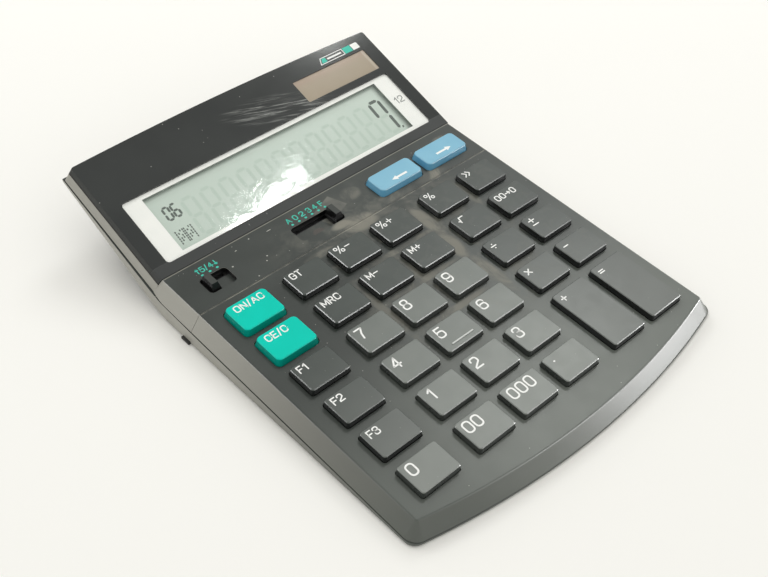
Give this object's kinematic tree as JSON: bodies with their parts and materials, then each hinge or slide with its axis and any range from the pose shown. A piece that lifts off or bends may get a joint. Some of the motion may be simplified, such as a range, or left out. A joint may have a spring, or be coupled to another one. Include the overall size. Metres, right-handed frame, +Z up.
{
  "type": "desktop calculator",
  "caption": "Desktop calculator with a tilted display panel, solar cell, sloping keypad with travelling keys, two slide switches and a removable battery door.",
  "frame": {"origin": "centre of the footprint, on the table", "axes": "+X to the right of the user, +Y to the rear where the display is, +Z up"},
  "size_m": [0.1436, 0.1881, 0.0304],
  "materials": {
    "case_plastic": "fine moulded grain, dark warm grey",
    "panel_plastic": "smooth satin, dark grey",
    "window_clear": "clear polished sheet",
    "frame_white": "smooth white",
    "display_glass": "pale grey-green reflective",
    "solar_glass": "brown amorphous cell behind glass",
    "soft_rubber": "soft matt",
    "foot_rubber": "matt black",
    "board_green": "solder-masked board",
    "ribbon_film": "amber film",
    "chip_resin": "black sealing resin",
    "cell_steel": "plated can",
    "contact_brass": "stamped strip",
    "screw_steel": "zinc plated",
    "knob_plastic": "smooth dark",
    "key_dark": "smooth dark grey",
    "key_grey": "smooth mid grey",
    "key_green": "smooth turquoise",
    "key_blue": "smooth light blue"
  },
  "bodies": {
    "case": {"battery": "cell_steel", "battery_contacts": "contact_brass", "battery_door": "case_plastic", "board_screws": "screw_steel", "bottom_case": "case_plastic", "case_screws": "screw_steel", "contact_strip": "soft_rubber", "display_board": "board_green", "display_cover": "panel_plastic", "display_window": "window_clear", "keyboard_cover": "case_plastic", "keypad_mat": "soft_rubber", "lcd_bezel": "frame_white", "lcd_glass": "display_glass", "main_board": "board_green", "rear_cover": "case_plastic", "ribbon_cable": "ribbon_film", "rubber_feet": "foot_rubber", "sealed_chip": "chip_resin", "solar_cell": "solar_glass"},
    "key_add": {"key_add": "key_dark"},
    "key_change_sign": {"key_change_sign": "key_dark"},
    "key_check_back": {"key_check_back": "key_blue"},
    "key_check_forward": {"key_check_forward": "key_blue"},
    "key_clear_entry": {"key_clear_entry": "key_green"},
    "key_correct": {"key_correct": "key_dark"},
    "key_cost": {"key_cost": "key_dark"},
    "key_decimal_point": {"key_decimal_point": "key_grey"},
    "key_divide": {"key_divide": "key_dark"},
    "key_double_zero": {"key_double_zero": "key_grey"},
    "key_equals": {"key_equals": "key_dark"},
    "key_grand_total": {"key_grand_total": "key_dark"},
    "key_margin": {"key_margin": "key_dark"},
    "key_memory_minus": {"key_memory_minus": "key_dark"},
    "key_memory_plus": {"key_memory_plus": "key_dark"},
    "key_memory_recall": {"key_memory_recall": "key_dark"},
    "key_multiply": {"key_multiply": "key_dark"},
    "key_number_0": {"key_number_0": "key_grey"},
    "key_number_1": {"key_number_1": "key_grey"},
    "key_number_2": {"key_number_2": "key_grey"},
    "key_number_3": {"key_number_3": "key_grey"},
    "key_number_4": {"key_number_4": "key_grey"},
    "key_number_5": {"key_number_5": "key_grey"},
    "key_number_6": {"key_number_6": "key_grey"},
    "key_number_7": {"key_number_7": "key_grey"},
    "key_number_8": {"key_number_8": "key_grey"},
    "key_number_9": {"key_number_9": "key_grey"},
    "key_on_ac": {"key_on_ac": "key_green"},
    "key_percent": {"key_percent": "key_dark"},
    "key_rate_minus": {"key_rate_minus": "key_dark"},
    "key_rate_plus": {"key_rate_plus": "key_dark"},
    "key_replay": {"key_replay": "key_dark"},
    "key_root": {"key_root": "key_dark"},
    "key_sell": {"key_sell": "key_dark"},
    "key_subtract": {"key_subtract": "key_dark"},
    "key_triple_zero": {"key_triple_zero": "key_grey"},
    "rounding_switch": {"rounding_knob": "knob_plastic", "rounding_wiper": "contact_brass"},
    "decimal_switch": {"decimal_knob": "knob_plastic", "decimal_wiper": "contact_brass"}
  },
  "joints": [
    {"name": "rounding_slide", "type": "slide", "parent": "case", "child": "rounding_switch", "axis": [1, 0, 0], "range_m": [0, 0.006]},
    {"name": "decimal_slide", "type": "slide", "parent": "case", "child": "decimal_switch", "axis": [1, 0, 0], "range_m": [-0.015, 0]},
    {"name": "key_add_press", "type": "slide", "parent": "case", "child": "key_add", "axis": [0, 0.0462, -0.9989], "range_m": [0, 0.0013], "stiffness_N_per_m": 400, "deforming": ["keypad_mat"]},
    {"name": "key_change_sign_press", "type": "slide", "parent": "case", "child": "key_change_sign", "axis": [0, 0.0462, -0.9989], "range_m": [0, 0.0013], "stiffness_N_per_m": 400, "deforming": ["keypad_mat"]},
    {"name": "key_check_back_press", "type": "slide", "parent": "case", "child": "key_check_back", "axis": [0, 0.0462, -0.9989], "range_m": [0, 0.0013], "stiffness_N_per_m": 400, "deforming": ["keypad_mat"]},
    {"name": "key_check_forward_press", "type": "slide", "parent": "case", "child": "key_check_forward", "axis": [0, 0.0462, -0.9989], "range_m": [0, 0.0013], "stiffness_N_per_m": 400, "deforming": ["keypad_mat"]},
    {"name": "key_clear_entry_press", "type": "slide", "parent": "case", "child": "key_clear_entry", "axis": [0, 0.0462, -0.9989], "range_m": [0, 0.0013], "stiffness_N_per_m": 400, "deforming": ["keypad_mat"]},
    {"name": "key_correct_press", "type": "slide", "parent": "case", "child": "key_correct", "axis": [0, 0.0462, -0.9989], "range_m": [0, 0.0013], "stiffness_N_per_m": 400, "deforming": ["keypad_mat"]},
    {"name": "key_cost_press", "type": "slide", "parent": "case", "child": "key_cost", "axis": [0, 0.0462, -0.9989], "range_m": [0, 0.0013], "stiffness_N_per_m": 400, "deforming": ["keypad_mat"]},
    {"name": "key_decimal_point_press", "type": "slide", "parent": "case", "child": "key_decimal_point", "axis": [0, 0.0462, -0.9989], "range_m": [0, 0.0013], "stiffness_N_per_m": 400, "deforming": ["keypad_mat"]},
    {"name": "key_divide_press", "type": "slide", "parent": "case", "child": "key_divide", "axis": [0, 0.0462, -0.9989], "range_m": [0, 0.0013], "stiffness_N_per_m": 400, "deforming": ["keypad_mat"]},
    {"name": "key_double_zero_press", "type": "slide", "parent": "case", "child": "key_double_zero", "axis": [0, 0.0462, -0.9989], "range_m": [0, 0.0013], "stiffness_N_per_m": 400, "deforming": ["keypad_mat"]},
    {"name": "key_equals_press", "type": "slide", "parent": "case", "child": "key_equals", "axis": [0, 0.0462, -0.9989], "range_m": [0, 0.0013], "stiffness_N_per_m": 400, "deforming": ["keypad_mat"]},
    {"name": "key_grand_total_press", "type": "slide", "parent": "case", "child": "key_grand_total", "axis": [0, 0.0462, -0.9989], "range_m": [0, 0.0013], "stiffness_N_per_m": 400, "deforming": ["keypad_mat"]},
    {"name": "key_margin_press", "type": "slide", "parent": "case", "child": "key_margin", "axis": [0, 0.0462, -0.9989], "range_m": [0, 0.0013], "stiffness_N_per_m": 400, "deforming": ["keypad_mat"]},
    {"name": "key_memory_minus_press", "type": "slide", "parent": "case", "child": "key_memory_minus", "axis": [0, 0.0462, -0.9989], "range_m": [0, 0.0013], "stiffness_N_per_m": 400, "deforming": ["keypad_mat"]},
    {"name": "key_memory_plus_press", "type": "slide", "parent": "case", "child": "key_memory_plus", "axis": [0, 0.0462, -0.9989], "range_m": [0, 0.0013], "stiffness_N_per_m": 400, "deforming": ["keypad_mat"]},
    {"name": "key_memory_recall_press", "type": "slide", "parent": "case", "child": "key_memory_recall", "axis": [0, 0.0462, -0.9989], "range_m": [0, 0.0013], "stiffness_N_per_m": 400, "deforming": ["keypad_mat"]},
    {"name": "key_multiply_press", "type": "slide", "parent": "case", "child": "key_multiply", "axis": [0, 0.0462, -0.9989], "range_m": [0, 0.0013], "stiffness_N_per_m": 400, "deforming": ["keypad_mat"]},
    {"name": "key_number_0_press", "type": "slide", "parent": "case", "child": "key_number_0", "axis": [0, 0.0462, -0.9989], "range_m": [0, 0.0013], "stiffness_N_per_m": 400, "deforming": ["keypad_mat"]},
    {"name": "key_number_1_press", "type": "slide", "parent": "case", "child": "key_number_1", "axis": [0, 0.0462, -0.9989], "range_m": [0, 0.0013], "stiffness_N_per_m": 400, "deforming": ["keypad_mat"]},
    {"name": "key_number_2_press", "type": "slide", "parent": "case", "child": "key_number_2", "axis": [0, 0.0462, -0.9989], "range_m": [0, 0.0013], "stiffness_N_per_m": 400, "deforming": ["keypad_mat"]},
    {"name": "key_number_3_press", "type": "slide", "parent": "case", "child": "key_number_3", "axis": [0, 0.0462, -0.9989], "range_m": [0, 0.0013], "stiffness_N_per_m": 400, "deforming": ["keypad_mat"]},
    {"name": "key_number_4_press", "type": "slide", "parent": "case", "child": "key_number_4", "axis": [0, 0.0462, -0.9989], "range_m": [0, 0.0013], "stiffness_N_per_m": 400, "deforming": ["keypad_mat"]},
    {"name": "key_number_5_press", "type": "slide", "parent": "case", "child": "key_number_5", "axis": [0, 0.0462, -0.9989], "range_m": [0, 0.0013], "stiffness_N_per_m": 400, "deforming": ["keypad_mat"]},
    {"name": "key_number_6_press", "type": "slide", "parent": "case", "child": "key_number_6", "axis": [0, 0.0462, -0.9989], "range_m": [0, 0.0013], "stiffness_N_per_m": 400, "deforming": ["keypad_mat"]},
    {"name": "key_number_7_press", "type": "slide", "parent": "case", "child": "key_number_7", "axis": [0, 0.0462, -0.9989], "range_m": [0, 0.0013], "stiffness_N_per_m": 400, "deforming": ["keypad_mat"]},
    {"name": "key_number_8_press", "type": "slide", "parent": "case", "child": "key_number_8", "axis": [0, 0.0462, -0.9989], "range_m": [0, 0.0013], "stiffness_N_per_m": 400, "deforming": ["keypad_mat"]},
    {"name": "key_number_9_press", "type": "slide", "parent": "case", "child": "key_number_9", "axis": [0, 0.0462, -0.9989], "range_m": [0, 0.0013], "stiffness_N_per_m": 400, "deforming": ["keypad_mat"]},
    {"name": "key_on_ac_press", "type": "slide", "parent": "case", "child": "key_on_ac", "axis": [0, 0.0462, -0.9989], "range_m": [0, 0.0013], "stiffness_N_per_m": 400, "deforming": ["keypad_mat"]},
    {"name": "key_percent_press", "type": "slide", "parent": "case", "child": "key_percent", "axis": [0, 0.0462, -0.9989], "range_m": [0, 0.0013], "stiffness_N_per_m": 400, "deforming": ["keypad_mat"]},
    {"name": "key_rate_minus_press", "type": "slide", "parent": "case", "child": "key_rate_minus", "axis": [0, 0.0462, -0.9989], "range_m": [0, 0.0013], "stiffness_N_per_m": 400, "deforming": ["keypad_mat"]},
    {"name": "key_rate_plus_press", "type": "slide", "parent": "case", "child": "key_rate_plus", "axis": [0, 0.0462, -0.9989], "range_m": [0, 0.0013], "stiffness_N_per_m": 400, "deforming": ["keypad_mat"]},
    {"name": "key_replay_press", "type": "slide", "parent": "case", "child": "key_replay", "axis": [0, 0.0462, -0.9989], "range_m": [0, 0.0013], "stiffness_N_per_m": 400, "deforming": ["keypad_mat"]},
    {"name": "key_root_press", "type": "slide", "parent": "case", "child": "key_root", "axis": [0, 0.0462, -0.9989], "range_m": [0, 0.0013], "stiffness_N_per_m": 400, "deforming": ["keypad_mat"]},
    {"name": "key_sell_press", "type": "slide", "parent": "case", "child": "key_sell", "axis": [0, 0.0462, -0.9989], "range_m": [0, 0.0013], "stiffness_N_per_m": 400, "deforming": ["keypad_mat"]},
    {"name": "key_subtract_press", "type": "slide", "parent": "case", "child": "key_subtract", "axis": [0, 0.0462, -0.9989], "range_m": [0, 0.0013], "stiffness_N_per_m": 400, "deforming": ["keypad_mat"]},
    {"name": "key_triple_zero_press", "type": "slide", "parent": "case", "child": "key_triple_zero", "axis": [0, 0.0462, -0.9989], "range_m": [0, 0.0013], "stiffness_N_per_m": 400, "deforming": ["keypad_mat"]}
  ]
}
